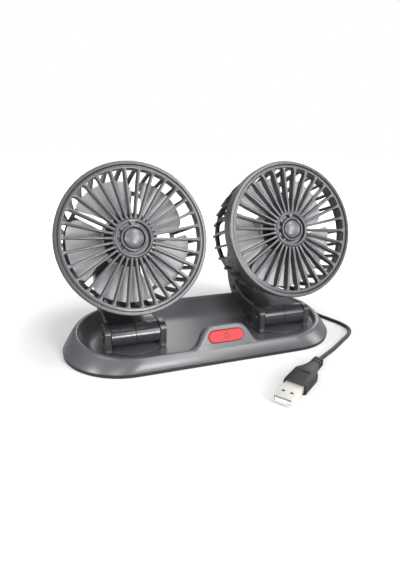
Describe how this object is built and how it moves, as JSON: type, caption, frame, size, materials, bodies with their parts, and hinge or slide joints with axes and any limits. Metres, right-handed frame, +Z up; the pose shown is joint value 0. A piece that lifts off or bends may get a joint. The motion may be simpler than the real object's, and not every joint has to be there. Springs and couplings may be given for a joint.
{
  "type": "dual head car fan",
  "caption": "Dished base with a push button and two hinged, swivelling round fan heads with radial grilles, and a USB lead.",
  "frame": {"origin": "centre of the base's flat underside on the table", "axes": "+Z up; the fan heads and the button face -Y; +X to the right seen from the front"},
  "size_m": [0.233, 0.2014, 0.1365],
  "materials": {
    "base": "satin moulded grey plastic",
    "plate": "matt moulded dark grey plastic",
    "rubber": "matt black",
    "hinge": "semi-gloss dark grey plastic",
    "cage": "satin grey plastic",
    "grille": "satin grey plastic",
    "cap": "glossy grey plastic",
    "blade": "satin light grey plastic",
    "rotor": "matt black plastic",
    "steel": "bright zinc plated",
    "button": "satin coral red plastic",
    "board": "green board with solder mask",
    "lead": "matt black PVC",
    "nickel": "nickel plated pressed steel",
    "tongue": "white moulded plastic"
  },
  "bodies": {
    "base": {"base_shell": "base", "base_plate": "plate", "anti_slip_pad": "rubber", "base_screw_1": "steel", "base_screw_2": "steel", "base_screw_3": "steel", "base_screw_4": "steel", "power_switch": "rotor", "circuit_board": "board", "cord_gland": "lead", "cord_coil": "lead", "cord_near": "lead", "cord_far": "lead", "plug_overmould": "lead", "plug_shell": "nickel", "plug_tongue": "tongue"},
    "button": {"power_button": "button"},
    "left_table": {"left_turntable": "hinge", "left_retainer": "steel", "left_swivel_screw_1": "steel", "left_swivel_screw_2": "steel", "left_tilt_pin": "hinge"},
    "left_head": {"left_arm_left_half": "hinge", "left_arm_right_half": "hinge", "left_arm_screw": "steel", "left_rear_cage": "cage", "left_front_grille": "grille", "left_hub_cap": "cap", "left_motor_stator": "rotor"},
    "left_fan": {"left_fan_blades": "blade", "left_rotor_cup": "rotor", "left_motor_shaft": "steel"},
    "right_table": {"right_turntable": "hinge", "right_retainer": "steel", "right_swivel_screw_1": "steel", "right_swivel_screw_2": "steel", "right_tilt_pin": "hinge"},
    "right_head": {"right_arm_left_half": "hinge", "right_arm_right_half": "hinge", "right_arm_screw": "steel", "right_rear_cage": "cage", "right_front_grille": "grille", "right_hub_cap": "cap", "right_motor_stator": "rotor"},
    "right_fan": {"right_fan_blades": "blade", "right_rotor_cup": "rotor", "right_motor_shaft": "steel"}
  },
  "joints": [
    {"name": "left_swivel", "type": "hinge", "parent": "base", "child": "left_table", "pos_m": [-0.0587, -0.0085, 0.0098], "axis": [0, 0, 1], "range_deg": [-90, 170]},
    {"name": "left_tilt", "type": "hinge", "parent": "left_table", "child": "left_head", "pos_m": [-0.0587, -0.0163, 0.0195], "axis": [1, 0, 0], "range_deg": [0, 40]},
    {"name": "left_spin", "type": "hinge", "parent": "left_head", "child": "left_fan", "pos_m": [-0.0587, -0.02337, 0.08952], "axis": [0, -0.9444, 0.3289], "continuous": true},
    {"name": "right_swivel", "type": "hinge", "parent": "base", "child": "right_table", "pos_m": [0.0587, -0.0085, 0.0098], "axis": [0, 0, 1], "range_deg": [-170, 90]},
    {"name": "right_tilt", "type": "hinge", "parent": "right_table", "child": "right_head", "pos_m": [0.0587, -0.0163, 0.0195], "axis": [1, 0, 0], "range_deg": [0, 40]},
    {"name": "right_spin", "type": "hinge", "parent": "right_head", "child": "right_fan", "pos_m": [0.0587, -0.02337, 0.08952], "axis": [0, -0.9444, 0.3289], "continuous": true},
    {"name": "power_press", "type": "slide", "parent": "base", "child": "button", "axis": [0, 0.9391, -0.3437], "range_m": [0, 0.001], "stiffness_N_per_m": 900}
  ]
}
